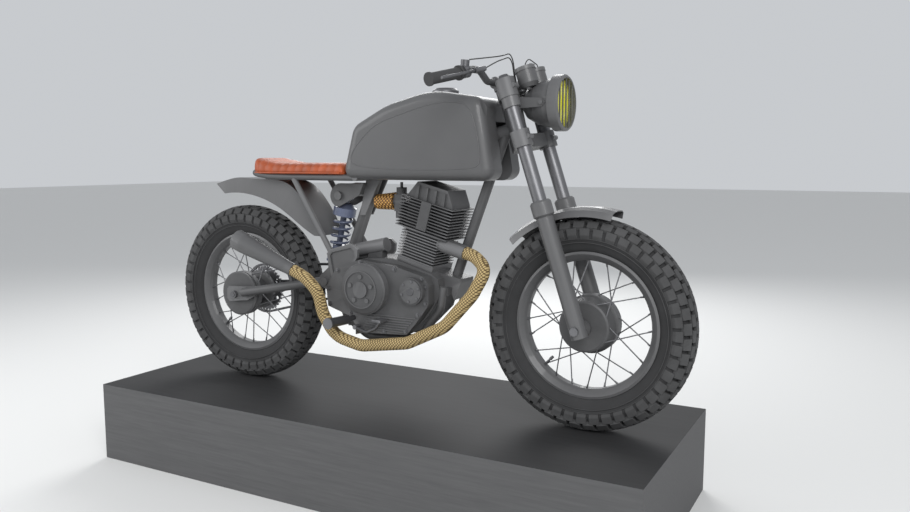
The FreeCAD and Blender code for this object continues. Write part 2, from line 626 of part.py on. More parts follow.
def swingarm():
    """Two arms on the pivot tube, each ending in a plate that holds the axle."""
    arms, plates = [], []
    for s in (-1, 1):
        rear, front = V(50, s * 109, 347), V(PIVOT.x, s * 84, PIVOT.z)
        arms.append(cylinder(front, rear, SWINGARM_R))
        plates.append(slab([(-40, AXLE_Z - 18), (-30, AXLE_Z - 29), (62, AXLE_Z - 18), (112, 342), (112, 374),
                            (52, AXLE_Z + 34), (-30, AXLE_Z + 29), (-40, AXLE_Z + 18)],
                           min(s * 90, s * 98), max(s * 90, s * 98)))
    pivot = cylinder(PIVOT - V(0, PLATE_Y - FIT_GAP, 0), PIVOT + V(0, PLATE_Y - FIT_GAP, 0), SWINGARM_R)
    brace = cylinder(V(388, -92, 408), V(388, 92, 408), 13)
    lug = [slab([(374, 404), (412, 404), (412, 440), (398, 452), (384, 440)], y, y + 6) for y in (-26, 20)]
    body = fused(pivot, brace, *arms, *plates, *lug)
    return body.cut([cylinder(REAR_AXLE - V(0, 130, 0), REAR_AXLE + V(0, 130, 0), AXLE_R + RUNNING_GAP)])


def rear_brake_plate():
    """The drum's fixed cover on the right."""
    bore = AXLE_R + RUNNING_GAP
    radius = REAR_HUB_R - 8 - SPIN_GAP
    profile = [(bore, -50 - SPIN_GAP), (radius, -50 - SPIN_GAP), (radius, -66), (REAR_HUB_R, -66 - 1), (REAR_HUB_R, -74),
               (REAR_HUB_R - 6, -78), (26, -80), (26, -90 + FIT_GAP), (bore, -90 + FIT_GAP)]
    return spun(profile, REAR_AXLE)


def shock_body():
    along = (SHOCK_FOOT - SHOCK_TOP).normalize()
    at = lambda t: SHOCK_TOP + along * t
    length = (SHOCK_FOOT - SHOCK_TOP).Length
    cup = cylinder(at(44), at(74), 41)
    neck = cone(at(30), at(44), 22, 34)
    eye = ring(SHOCK_TOP - V(0, 18, 0), SHOCK_TOP + V(0, 18, 0), 20, 8 + RUNNING_GAP)
    rod = cylinder(at(16), at(190), 11)
    barrel = cylinder(at(185), at(length - 8), 22)
    collar = cylinder(at(238), at(248), 36)
    foot = cylinder(SHOCK_FOOT - V(0, 19, 0), SHOCK_FOOT + V(0, 19, 0), 16)
    body = fused(cup, neck, rod, barrel, collar, foot)
    eye_hole = cylinder(SHOCK_TOP - V(0, 30, 0), SHOCK_TOP + V(0, 30, 0), 8 + RUNNING_GAP)
    return fused(body.cut(eye_hole), eye)


def shock_spring():
    """The coil between the shock's cup and collar."""
    along = (SHOCK_FOOT - SHOCK_TOP).normalize()
    wire_r, coil_r = 4.5, 31.0
    start, end = 74 + FIT_GAP + wire_r, 238 - FIT_GAP - wire_r
    turns = 6.0
    helix = Part.makeHelix((end - start) / turns, end - start, coil_r)
    circle = Part.Wire(Part.makeCircle(wire_r, V(coil_r, 0, 0), V(0, 1, 0)))
    coil = Part.Wire(helix.Edges).makePipeShell([circle], True, True)
    coil.Placement = FreeCAD.Placement(SHOCK_TOP + along * start, FreeCAD.Rotation(V(0, 0, 1), along))
    return coil


# ---- tank, seat and guards ----------------------------------------------------------------
def rounded_slab(corners, y_low, y_high):
    """A plate whose outline is a polygon of (x, z, radius) corners, each rounded by its radius."""
    edges, ends = [], []
    for n, (x, z, radius) in enumerate(corners):
        here = V(x, y_low, z)
        before, after = corners[n - 1], corners[(n + 1) % len(corners)]
        into = (here - V(before[0], y_low, before[1])).normalize()
        out = (V(after[0], y_low, after[1]) - here).normalize()
        half_turn = into.getAngle(out) / 2
        back = radius * math.tan(half_turn)
        start, end = here - into * back, here + out * back
        inward = (out - into).normalize()
        middle = here + inward * (radius / math.cos(half_turn) - radius)
        edges.append(Part.Arc(start, middle, end).toShape())
        ends.append((start, end))
    for n, (start, end) in enumerate(ends):
        edges.append(Part.makeLine(ends[n - 1][1], start))
    return Part.Face(Part.Wire(Part.__sortEdges__(edges))).extrude(V(0, y_high - y_low, 0))


TANK_CORNERS = [(518, 777, 36), (568, 958, 60), (700, 1024, 300), (870, 1066, 300), (1056, 1037, 48), (1099, 777, 36)]


def swung_leg(side):
    """The room that a fork leg and its clamp ring take at the steering stop that brings it nearest."""
    leg = cylinder(fork(640, 0, side * FORK_HALF_GAP), fork(850, 0, side * FORK_HALF_GAP),
                   CLAMP_RING_R + TANK_CLEARANCE)
    leg.rotate(FRONT_AXLE - FORK_AHEAD * FORK_OFFSET, FORK_UP, side * STEER_LIMIT_DEG)
    return leg


def fuel_tank():
    body = rounded_slab(TANK_CORNERS, -TANK_HALF_W, TANK_HALF_W)
    body = body.makeFillet(TANK_EDGE_R, [e for e in body.Edges
                                         if abs(abs(e.CenterOfMass.y) - TANK_HALF_W) < 0.01])
    tunnel = slab([(500, 760), (1140, 760), (1140, 990), (1061, 962), (600, 848), (500, 824)],
                  -TUNNEL_HALF_W, TUNNEL_HALF_W)
    room_for_head = cylinder(fork(500, -FORK_OFFSET, 0), fork(800, -FORK_OFFSET, 0), HEAD_TUBE_R + 12)
    return body.cut([tunnel, room_for_head] + [swung_leg(side) for side in (-1, 1)])


def tank_cap():
    base = V(866, 0, 1040)
    body = fused(cylinder(base, base + V(0, 0, 30), 44), cone(base + V(0, 0, 30), base + V(0, 0, 38), 44, 34))
    return body.cut(rounded_slab(TANK_CORNERS, -TANK_HALF_W, TANK_HALF_W))


def seat():
    rear, front = 86.0, 522.0
    base = SEAT_BASE_Z + FIT_GAP
    plan = [V(front, -SEAT_HALF_W, base), V(rear + 70, -SEAT_HALF_W, base), V(rear, -SEAT_HALF_W + 60, base),
            V(rear, SEAT_HALF_W - 60, base), V(rear + 70, SEAT_HALF_W, base), V(front, SEAT_HALF_W, base)]
    block = Part.Face(Part.makePolygon(plan + plan[:1])).extrude(V(0, 0, 70))
    side = smooth_slab([[(rear - 10, base + 16), (125, base + 6), (180, base), (240, base)], [(240, base), (front, base)],
                        [(front, base), (front, base + SEAT_THICK)],
                        [(front, base + SEAT_THICK), (260, base + SEAT_THICK + 1), (180, base + 50), (130, base + 58),
                         (rear - 10, base + 52)], [(rear - 10, base + 52), (rear - 10, base + 16)]],
                       -SEAT_HALF_W, SEAT_HALF_W)
    return block.common(side)


def rear_fender():
    """A deep guard: its crown follows the wheel's travel, its skirts hang on both sides."""
    half, wall = 68.0, 3.0
    crown = [(384, 572), (360, 632), (322, 688), (278, 736), (232, 763), (150, 771), (60, 776), (8, 778),
             (-50, 768), (-105, 753)]
    skirt = [(-64, 716), (31, 719), (120, 702), (198, 671), (310, 601), (362, 572)]
    outer = smooth_slab([crown, [crown[-1], skirt[0]], skirt, [skirt[-1], crown[0]]], -half, half)
    under = [(386, 540), (356, 630), (318, 685), (275, 732), (231, 759), (150, 767), (60, 772), (8, 774),
             (-50, 764), (-140, 740)]
    below = [(-140, 620), (360, 480)]
    inner = smooth_slab([under, [under[-1], below[0]], below, [below[-1], under[0]]], -half + wall, half - wall)
    mount = cylinder(V(400, -20, RAIL_Z), V(400, 20, RAIL_Z), 9)
    return outer.cut([inner, mount])


# ---- engine -------------------------------------------------------------------------------
def crankcase():
    """The engine's lower half with its side covers and starter, bored for nothing that turns outside."""
    case = slab([(470, 352), (500, 300), (600, 262), (786, 266), (850, 330), (893, 400), (884, 452), (856, 470),
                 (712, 512), (600, 508), (530, 488), (476, 400)], -88, 60)
    left = slab([(640, 290), (786, 276), (846, 336), (868, 400), (840, 462), (712, 496), (640, 486)], 60, 92)
    left_round = [cylinder(V(752, 92, 392), V(752, 112, 392), 76), cylinder(V(752, 112, 392), V(752, 118, 392), 58)]
    cover = slab([(458, 404), (464, 336), (556, 308), (600, 254), (788, 264), (842, 330), (872, 372), (872, 436),
                  (856, 464), (740, 492), (600, 506), (500, 470)], -128, -88)
    small = cylinder(V(815, -128, 415), V(815, -146, 415), 45)
    small_face = cylinder(V(815, -146, 415), V(815, -150, 415), 40)
    starter = fused(cylinder(V(538, -46, 528), V(660, -46, 554), 25),
                    slab([(592, 470), (650, 470), (650, 545), (592, 532)], -62, -30))
    base = tilted_box((-20, 0), (-70, 72), (-68, 68))
    return fused(case, left, *left_round, cover, small, small_face, starter, base)


def clutch_cover():
    centre = V(630, 0, 410)
    profile = [(0, -128), (88, -128), (88, -152), (82, -158), (64, -166), (64, -170), (60, -170), (60, -167),
               (28, -167), (28, -172), (0, -172)]
    body = spun(profile, centre)
    bolts = []
    for n in range(5):
        angle = math.radians(90 + 72 * n)
        at = centre + V(44 * math.cos(angle), -167, 44 * math.sin(angle))
        bolts.append(cylinder(at, at - V(0, 4, 0), 8))
    return fused(body, *bolts)


def finned(up_low, up_high, core_ahead, core_y, fin_ahead, fin_y):
    """A block in the cylinder's frame with flat cooling fins all round."""
    parts = []
    count = int((up_high - up_low) / FIN_PITCH)
    pitch = (up_high - up_low - FIN_T) / count
    for n in range(count + 1):
        low = up_low + n * pitch
        parts.append(tilted_box((low, low + FIN_T), fin_ahead, fin_y))
    return fused(tilted_box((up_low, up_high), core_ahead, core_y), *parts)


def barrel():
    half = CYLINDER_HALF
    return finned(0, CYLINDER_H, (-half + 14, half - 14), (-half + 16, half - 16), (-half, half - 2),
                  (-half + 3, half - 3))


def cylinder_head():
    """The head: fins, side pad, intake and exhaust stubs, and the ribbed rocker cover."""
    low, high = CYLINDER_H, CYLINDER_H + HEAD_H
    body = finned(low, high, (-76, 74), (-58, 58), (-HEAD_HALF_LEN, HEAD_HALF_LEN - 2), (-HEAD_HALF_W, HEAD_HALF_W))
    pads = [tilted_box((low + 8, high), (-20, 18), y) for y in ((-HEAD_HALF_W - 2, -50), (50, HEAD_HALF_W + 2))]
    top = high + ROCKER_H
    rocker = tilted_slab([(-88, high), (90, high), (86, high + 12), (58, top), (-60, top)], -62, 62)
    ribs = [tilted_slab([(a, high), (a + 14, high), (a + 10, top - 10), (a, top - 14)], y, y + 7)
            for a in (-56, -22, 12, 46) for y in (-68, 61)]
    intake = cylinder(cylinder_frame(low + 66, -70, 0), cylinder_frame(low + 70, -118, 0), 21)
    port_root, port_end = V(868, -42, 566), EXHAUST_START
    port = cylinder(port_root, port_end, 25)
    return fused(body, *pads, rocker, *ribs, intake, port)


EXHAUST_START = V(966, -47, 541)
CARB_FACE = cylinder_frame(CYLINDER_H + 70, -118, 0)


def carburettor():
    back = V(CARB_FACE.x - FIT_GAP, 0, CARB_FACE.z)
    throat = cylinder(back, back - V(46, 0, 0), 22)
    body = Part.makeBox(34, 44, 58, back + V(-40, -22, -34))
    bowl = cylinder(back + V(-23, 0, -58), back + V(-23, 0, -34), 21)
    dome = cylinder(back + V(-23, 0, 24), back + V(-23, 0, 48), 18)
    stub = cylinder(back + V(-23, 0, 48), back + V(-23, 0, 66), 5)
    return fused(throat, body, bowl, dome, stub)


def air_filter():
    face = V(CARB_FACE.x - 46.6, 0, CARB_FACE.z)
    end = face + V(-76, 0, -4)
    return cone(face, end, 31, 26)


def exhaust_pipe():
    points = [EXHAUST_START + V(FIT_GAP, 0, 0), V(1004, -54, 533), V(1056, -74, 496), V(1018, -98, 412),
              V(929, -124, 304), V(797, -140, 240), V(613, -142, 212), V(508, -150, 238), V(466, -162, 318),
              V(456, -172, 392), V(405, -180, 440), SILENCER_FRONT]
    return pipe(points, EXHAUST_R, 90)


def silencer():
    rear = SILENCER_REAR
    along = (rear - SILENCER_FRONT).normalize()
    start = SILENCER_FRONT + along * FIT_GAP
    neck = cylinder(start, start + along * 24, EXHAUST_R + 2)
    body = cone(start + along * 24, rear - along * 34, EXHAUST_R + 2, SILENCER_END_R)
    tail = cylinder(rear - along * 34, rear, SILENCER_END_R)
    outlet = cylinder(rear - along * 30, rear + along * 2, SILENCER_BORE_R)
    return fused(neck, body, tail).cut(outlet)


def foot_controls():
    """Footpegs with their hangers, the brake pedal on the right and the gear lever on the left."""
    hanger = slab([(556, 316), (592, 316), (596, 290), (584, 244), (560, 238)], -CRADLE_HALF_W - CRADLE_R - 8,
                  -CRADLE_HALF_W - CRADLE_R + 0)
    shaft = cylinder(V(574, -CRADLE_HALF_W - CRADLE_R - 4, 304), V(574, -176, 304), 9)
    rubber = cylinder(V(574, -172, 304), V(574, -272, 308), 16)
    flange = cylinder(V(574, -270, 308), V(574, -276, 308), 19)
    peg = fused(hanger, shaft, rubber, flange)
    return both_sides(peg)


def foot_levers():
    y = 148.0
    pedal = pipe([V(594, -y, 276), V(640, -y, 262), V(676, -y, 278), V(696, -y, 306)], 5.5, 24)
    pad = Part.makeBox(34, 42, 9, V(682, -y - 30, 306))
    pivot = cylinder(V(594, -CRADLE_HALF_W - CRADLE_R - 10, 276), V(594, -y - 6, 276), 8)
    right = fused(pedal, pad, pivot)
    lever = pipe([V(660, 92, 330), V(660, 138, 330), V(668, 148, 328), V(744, 148, 304)], 5.5, 8)
    toe = cylinder(V(744, 140, 304), V(744, 178, 304), 8)
    left = fused(lever, toe)
    return Part.makeCompound([right, left])


def drive_chain():
    """One closed loop round both sprockets."""
    def loop(grow):
        """The belt line round both sprockets, grown outward by a distance."""
        rear, front = V(0, 0, AXLE_Z), FRONT_SPROCKET
        big, small = SPROCKET_R + grow, FRONT_SPROCKET_R + grow
        span = front - rear
        turn = math.acos((big - small) / V(span.x, 0, span.z).Length)
        slope = math.atan2(span.z, span.x)
        def at(c, r, a):
            return V(c.x + r * math.cos(a), 0, c.z + r * math.sin(a))
        up, down = slope + turn, slope - turn
        far_rear, far_front = slope + math.pi, slope
        return Part.Wire([
            Part.Arc(at(rear, big, up), at(rear, big, far_rear), at(rear, big, down)).toShape(),
            Part.makeLine(at(rear, big, down), at(front, small, down)),
            Part.Arc(at(front, small, down), at(front, small, far_front), at(front, small, up)).toShape(),
            Part.makeLine(at(front, small, up), at(rear, big, up))])
    band = Part.Face(loop(3.5 + 2 * CHAIN_HALF_T)).extrude(V(0, 2 * CHAIN_HALF_W, 0))
    band = band.cut(Part.Face(loop(3.5)).extrude(V(0, 2 * CHAIN_HALF_W, 0)))
    band.translate(V(0, CHAIN_Y - CHAIN_HALF_W, 0))
    return band


def front_sprocket():
    at = V(FRONT_SPROCKET.x, 60, FRONT_SPROCKET.z)
    return cylinder(at, at + V(0, CHAIN_Y + CHAIN_HALF_W - 58, 0), FRONT_SPROCKET_R)


def side_stand():
    """The prop on the left, folded back along the bike."""
    tip = STAND_PIVOT + V(-STAND_LENGTH, 0, 0)
    hub = cylinder(STAND_PIVOT - V(0, 9, 0), STAND_PIVOT + V(0, 9, 0), 16)
    leg = cylinder(STAND_PIVOT - V(11, 0, 0), tip, 8)
    foot = Part.makeBox(10, 44, 34, tip + V(-6, -16, -17))
    hole = cylinder(STAND_PIVOT - V(0, 30, 0), STAND_PIVOT + V(0, 30, 0), 6 + RUNNING_GAP)
    return fused(leg, hub, foot).cut(hole)


def stand_bracket():
    """Clevis under the left rail that the stand turns in."""
    pin = cylinder(STAND_PIVOT - V(0, 20, 0), STAND_PIVOT + V(0, 14, 0), 6)
    head = cylinder(STAND_PIVOT + V(0, 10, 0), STAND_PIVOT + V(0, 15, 0), 10)
    ear = Part.makeBox(36, 8, 40, STAND_PIVOT + V(-18, -19, -18))
    return fused(pin, head, ear)


def plinth():
    outside = Part.makeBox(PLINTH_LEN, 2 * PLINTH_HALF_W, PLINTH_H, V(PLINTH_REAR_X, -PLINTH_HALF_W, -PLINTH_H))
    w = PLINTH_WALL
    void = Part.makeBox(PLINTH_LEN - 2 * w, 2 * PLINTH_HALF_W - 2 * w, PLINTH_H - 2 * w,
                        V(PLINTH_REAR_X + w, -PLINTH_HALF_W + w, -PLINTH_H + w))
    return outside.cut(void)


NODES = {
    "plinth": plinth,
    "head_tube": head_tube, "spine_tube": spine_tube, "down_tube": down_tube, "seat_tube": seat_tube,
    "seat_loop": seat_loop, "seat_stays": seat_stays, "pivot_plates": pivot_plates, "cradle_rails": cradle_rails,
    "swingarm": swingarm, "rear_axle": rear_axle, "rear_brake_plate": rear_brake_plate,
    "shock_body": shock_body, "shock_spring": shock_spring,
    "fuel_tank": fuel_tank, "tank_cap": tank_cap, "seat": seat, "rear_fender": rear_fender,
    "crankcase": crankcase, "clutch_cover": clutch_cover, "cylinder": barrel, "cylinder_head": cylinder_head,
    "carburettor": carburettor, "air_filter": air_filter, "exhaust_pipe": exhaust_pipe, "silencer": silencer,
    "footpegs": foot_controls, "foot_levers": foot_levers, "drive_chain": drive_chain,
    "front_sprocket": front_sprocket, "stand_bracket": stand_bracket, "side_stand": side_stand,
    "lower_clamp": lower_clamp, "upper_clamp": upper_clamp, "fork_tubes": fork_tubes, "fork_sliders": fork_sliders,
    "handlebar": handlebar, "grips": grips, "hand_levers": hand_levers, "headlamp_shell": headlamp_shell,
    "headlamp_lens": headlamp_lens, "instruments": instruments, "control_cables": control_cables,
    "front_fender": front_fender, "front_axle": front_axle, "front_brake_plate": front_brake_plate,
    "front_tyre": lambda: tyre(FRONT_AXLE), "front_rim": lambda: rim(FRONT_AXLE),
    "front_spokes": lambda: spokes(FRONT_AXLE, FRONT_HUB_R - 2, 40, FRONT_DRUM_R - 2, 22),
    "front_hub": front_hub,
    "rear_tyre": lambda: tyre(REAR_AXLE), "rear_rim": lambda: rim(REAR_AXLE),
    "rear_spokes": lambda: spokes(REAR_AXLE, REAR_HUB_R - 2, 48, REAR_HUB_R - 12, 40),
    "rear_hub": rear_hub, "rear_sprocket": rear_sprocket,
}


# Where a piece is set into others, it is cut back to their surfaces.
SET_INTO = {
    "exhaust_pipe": ["cylinder_head"],
    "fuel_tank": ["seat_loop"],
    "handlebar": ["upper_clamp"],
    "hand_levers": ["handlebar"],
    "control_cables": ["hand_levers"],
    "headlamp_shell": ["upper_clamp"],
    "instruments": ["upper_clamp", "headlamp_shell"],
    "shock_body": ["swingarm"],
    "air_filter": ["carburettor"],
    "carburettor": ["cylinder_head"],
    "cylinder": ["cylinder_head"],
    "crankcase": ["cradle_rails", "down_tube", "seat_tube", "pivot_plates", "footpegs", "foot_levers", "cylinder",
                  "clutch_cover", "stand_bracket", "front_sprocket"],
    "footpegs": ["cradle_rails", "stand_bracket"],
    "stand_bracket": ["cradle_rails"],
    "silencer": ["exhaust_pipe"],
    "front_spokes": ["front_hub", "front_rim"],
    "rear_spokes": ["rear_hub", "rear_rim"],
}


def cut_to_fit(shapes):
    for name, others in SET_INTO.items():
        shapes[name] = shapes[name].cut([shapes[o] for o in others])
    return shapes


def main():
    os.makedirs("parts", exist_ok=True)
    shapes = cut_to_fit({name: build() for name, build in NODES.items()})
    for name, shape in shapes.items():
        shape.translate(TO_ROW)
        shape.exportStep(f"parts/{name}.step")
        print(name, len(shape.Solids), shape.isValid(), round(shape.Volume / 1000))


if __name__ == "__main__":
    main()
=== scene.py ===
"""Looks for the brat style motorcycle on its plinth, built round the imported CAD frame."""
import json
import math

import bmesh
import bpy
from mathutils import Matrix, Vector


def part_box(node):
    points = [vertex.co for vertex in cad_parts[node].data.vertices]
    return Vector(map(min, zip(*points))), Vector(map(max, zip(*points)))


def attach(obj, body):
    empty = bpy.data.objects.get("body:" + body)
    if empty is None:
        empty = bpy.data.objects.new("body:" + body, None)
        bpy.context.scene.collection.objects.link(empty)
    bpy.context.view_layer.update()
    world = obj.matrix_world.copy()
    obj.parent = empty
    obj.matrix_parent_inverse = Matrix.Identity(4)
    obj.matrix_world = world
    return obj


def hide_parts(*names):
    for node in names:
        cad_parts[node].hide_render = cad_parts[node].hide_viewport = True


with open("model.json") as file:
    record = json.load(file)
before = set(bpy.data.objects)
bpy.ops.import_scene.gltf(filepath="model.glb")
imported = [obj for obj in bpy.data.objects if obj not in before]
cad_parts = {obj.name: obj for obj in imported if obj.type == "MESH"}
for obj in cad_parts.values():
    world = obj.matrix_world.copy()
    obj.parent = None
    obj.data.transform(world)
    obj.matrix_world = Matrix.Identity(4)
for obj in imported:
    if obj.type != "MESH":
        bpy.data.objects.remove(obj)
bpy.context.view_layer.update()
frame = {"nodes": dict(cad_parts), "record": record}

MM = 0.001
FULL_TURN = 2 * math.pi
LEFT = Vector((0, 1, 0))
RIGHT = Vector((0, -1, 0))


def middle(node):
    low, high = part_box(node)
    return (low + high) / 2


# ---- materials ------------------------------------------------------------------------
EDGE_STARTS, EDGE_FULL = 0.52, 0.62    # pointiness where a worn edge begins and where it is bare
EDGE_PALER = 2.4                       # a bare edge's colour, as a multiple of the finish's own
WAVE_PERIOD = 0.314                    # metres between two bands of a wave texture at a scale of 1
WEAVE_TURN_DEG = 45
WEAVE_TILT_DEG = 12
BOARD_SIDE = ((0.078, 0.078, 0.08), (0.1, 0.1, 0.102))
# the deck's colours are painted shade: the plinth's top is drawn far darker than its sides
DECK_PAINTED_SHADE = ((0.014, 0.014, 0.015), (0.021, 0.021, 0.022))
BOARD_STRETCH = (1.5, 30.0, 30.0)      # the grain runs along the plinth


def new_material(name, colour, roughness, metallic=0.0):
    mat = bpy.data.materials.new(name)
    mat.use_nodes = True
    shader = mat.node_tree.nodes["Principled BSDF"]
    shader.inputs["Base Color"].default_value = (*colour, 1)
    shader.inputs["Roughness"].default_value = roughness
    shader.inputs["Metallic"].default_value = metallic
    return mat, mat.node_tree.nodes, mat.node_tree.links, shader


def add(nodes, kind, **values):
    """A new node, with its settings and the values of its inputs given by name."""
    node = nodes.new(kind)
    for key, value in values.items():
        if hasattr(node, key):
            setattr(node, key, value)
        else:
            node.inputs[key.replace("_", " ").title()].default_value = value
    return node


def ramp(nodes, links, source, stops):
    """A colour ramp through stops of (position, colour)."""
    node = nodes.new("ShaderNodeValToRGB")
    elements = node.color_ramp.elements
    for index, (position, colour) in ((0, stops[0]), (1, stops[-1])):
        elements[index].position = position
        elements[index].color = (*colour, 1)
    for position, colour in stops[1:-1]:
        elements.new(position).color = (*colour, 1)
    links.new(source, node.inputs["Fac"])
    return node.outputs["Color"]


def scaled(colour, share):
    return tuple(min(1.0, channel * share) for channel in colour)


def add_bump(nodes, links, shader, height, strength, distance):
    bump = add(nodes, "ShaderNodeBump", Strength=strength, Distance=distance)
    links.new(height, bump.inputs["Height"])
    links.new(bump.outputs["Normal"], shader.inputs["Normal"])


def with_worn_edges(nodes, links, tone, colour, worn):
    """The tone, with convex edges mixed towards a paler colour by the share worn."""
    edge = nodes.new("ShaderNodeNewGeometry").outputs["Pointiness"]
    mask = ramp(nodes, links, edge, [(EDGE_STARTS, (0, 0, 0)), (EDGE_FULL, (1, 1, 1))])
    share = add(nodes, "ShaderNodeMath", operation="MULTIPLY")
    share.inputs[1].default_value = worn
    mix = add(nodes, "ShaderNodeMix", data_type="RGBA")
    mix.inputs["B"].default_value = (*scaled(colour, EDGE_PALER), 1)
    links.new(mask, share.inputs[0])
    links.new(share.outputs[0], mix.inputs["Factor"])
    links.new(tone, mix.inputs["A"])
    return mix.outputs["Result"]


def surface(name, colour, roughness, metallic=0.0, patch=9.0, vary=0.18, grain=350.0, depth=0.0003,
            strength=0.25, coat=0.0, voronoi=False, worn=0.0):
    """A finish with uneven tone, uneven gloss, a fine grain and, where worn is set, paler edges."""
    mat, nodes, links, shader = new_material(name, colour, roughness, metallic)
    place = nodes.new("ShaderNodeTexCoord").outputs["Object"]
    cloud = add(nodes, "ShaderNodeTexNoise", Scale=patch, Detail=6.0, Roughness=0.6)
    links.new(place, cloud.inputs["Vector"])
    tone = ramp(nodes, links, cloud.outputs["Fac"],
                [(0.3, scaled(colour, 1 - vary)), (0.7, scaled(colour, 1 + vary))])
    if worn:
        tone = with_worn_edges(nodes, links, tone, colour, worn)
    links.new(tone, shader.inputs["Base Color"])
    gloss = add(nodes, "ShaderNodeMapRange")
    gloss.inputs["To Min"].default_value = max(0.05, roughness - 0.08)
    gloss.inputs["To Max"].default_value = min(1.0, roughness + 0.1)
    links.new(cloud.outputs["Fac"], gloss.inputs["Value"])
    links.new(gloss.outputs["Result"], shader.inputs["Roughness"])
    if voronoi:
        fine = add(nodes, "ShaderNodeTexVoronoi", Scale=grain, feature="DISTANCE_TO_EDGE")
        height = fine.outputs["Distance"]
    else:
        fine = add(nodes, "ShaderNodeTexNoise", Scale=grain, Detail=4.0)
        height = fine.outputs["Fac"]
    links.new(place, fine.inputs["Vector"])
    add_bump(nodes, links, shader, height, strength, depth)
    shader.inputs["Coat Weight"].default_value = coat
    return mat


def woven(name, light, dark, pitch, roughness, metallic=0.0, depth=0.0012):
    """Crossed yarns or wires: two wave patterns at right angles, pale on top and dark between."""
    mat, nodes, links, shader = new_material(name, light, roughness, metallic)
    place = nodes.new("ShaderNodeTexCoord").outputs["Object"]
    top = add(nodes, "ShaderNodeMath", operation="MULTIPLY")
    for index, turn in enumerate((WEAVE_TURN_DEG, -WEAVE_TURN_DEG)):
        turned = add(nodes, "ShaderNodeMapping")
        turned.inputs["Rotation"].default_value = (0.0, math.radians(turn), math.radians(WEAVE_TILT_DEG))
        links.new(place, turned.inputs["Vector"])
        wave = add(nodes, "ShaderNodeTexWave", Scale=WAVE_PERIOD / pitch, Distortion=1.2, Detail=1.0)
        wave.inputs["Detail Scale"].default_value = 1.5
        links.new(turned.outputs["Vector"], wave.inputs["Vector"])
        links.new(wave.outputs["Fac"], top.inputs[index])
    tone = ramp(nodes, links, top.outputs[0], [(0.02, dark), (0.22, scaled(light, 0.8)), (0.8, light)])
    links.new(tone, shader.inputs["Base Color"])
    add_bump(nodes, links, shader, top.outputs[0], 0.8, depth)
    return mat


def plinth_finish(name):
    """Dark stained board with painted shade on top: the deck is nearly black, the sides are a paler grey."""
    mat, nodes, links, shader = new_material(name, (0.08, 0.08, 0.082), 0.75)
    geometry = nodes.new("ShaderNodeNewGeometry")
    split = nodes.new("ShaderNodeSeparateXYZ")
    links.new(geometry.outputs["True Normal"], split.inputs[0])
    place = nodes.new("ShaderNodeTexCoord").outputs["Object"]
    stretched = add(nodes, "ShaderNodeMapping")
    stretched.inputs["Scale"].default_value = BOARD_STRETCH
    links.new(place, stretched.inputs["Vector"])
    grain = add(nodes, "ShaderNodeTexNoise", Scale=4.0, Detail=8.0, Roughness=0.65)
    links.new(stretched.outputs["Vector"], grain.inputs["Vector"])
    side = ramp(nodes, links, grain.outputs["Fac"], list(zip((0.3, 0.7), BOARD_SIDE)))
    deck = ramp(nodes, links, grain.outputs["Fac"], list(zip((0.3, 0.7), DECK_PAINTED_SHADE)))
    # upward faces take the near-black deck colours, painted shade; the other faces keep the paler board grey
    mix = add(nodes, "ShaderNodeMix", data_type="RGBA")
    links.new(split.outputs["Z"], mix.inputs["Factor"])
    links.new(side, mix.inputs["A"])
    links.new(deck, mix.inputs["B"])
    links.new(mix.outputs["Result"], shader.inputs["Base Color"])
    add_bump(nodes, links, shader, grain.outputs["Fac"], 0.3, 0.0006)
    return mat


finishes = {
    "frame_paint": surface("frame_paint", (0.075, 0.075, 0.077), 0.5, worn=0.5, strength=0.12),
    "body_paint": surface("body_paint", (0.085, 0.085, 0.087), 0.48, worn=0.25, strength=0.08, vary=0.08,
                          patch=4.0, coat=0.15),
    "engine_metal": surface("engine_metal", (0.08, 0.08, 0.082), 0.6, metallic=0.25, grain=700,
                            strength=0.5, worn=0.7),
    "dark_steel": surface("dark_steel", (0.11, 0.11, 0.115), 0.4, metallic=0.7, patch=25, strength=0.15,
                          worn=0.6),
    "tyre_rubber": surface("tyre_rubber", (0.055, 0.055, 0.056), 0.85, patch=14, vary=0.25, grain=900,
                           strength=0.3),
    "black_rubber": surface("black_rubber", (0.04, 0.04, 0.041), 0.8, grain=600, strength=0.4, voronoi=True),
    "seat_leather": surface("seat_leather", (0.36, 0.072, 0.02), 0.5, patch=16, vary=0.32, grain=420,
                            strength=0.35, depth=0.0005, voronoi=True),
    "wrap_cloth": woven("wrap_cloth", (0.56, 0.42, 0.2), (0.1, 0.065, 0.025), 0.0075, 0.9),
    "filter_mesh": woven("filter_mesh", (0.72, 0.4, 0.12), (0.08, 0.03, 0.01), 0.0095, 0.45, metallic=0.4,
                         depth=0.003),
    "spring_paint": surface("spring_paint", (0.075, 0.088, 0.135), 0.4, worn=0.5, strength=0.1, coat=0.2),
    "lens_glass": surface("lens_glass", (0.78, 0.74, 0.02), 0.12, vary=0.06, grain=90, strength=0.6,
                          depth=0.001, coat=0.8),
    "cable_sheath": surface("cable_sheath", (0.03, 0.03, 0.03), 0.5),
    "plinth_board": plinth_finish("plinth_board"),
}
# a darker copy of the tyre rubber for the carcass: painted shade in the grooves between the tread blocks, which
# also darkens the sidewalls
groove_shade_rubber = surface("groove_shade_rubber", (0.032, 0.032, 0.033), 0.9, patch=14, vary=0.2, grain=900, strength=0.3)
for part in frame["record"]["subparts"]:
    data = frame["nodes"][part["node"]].data
    data.materials.clear()
    data.materials.append(finishes[part["material_slot"]])


# ---- mesh helpers -----------------------------------------------------------------------
NEARLY_PARALLEL = 0.1


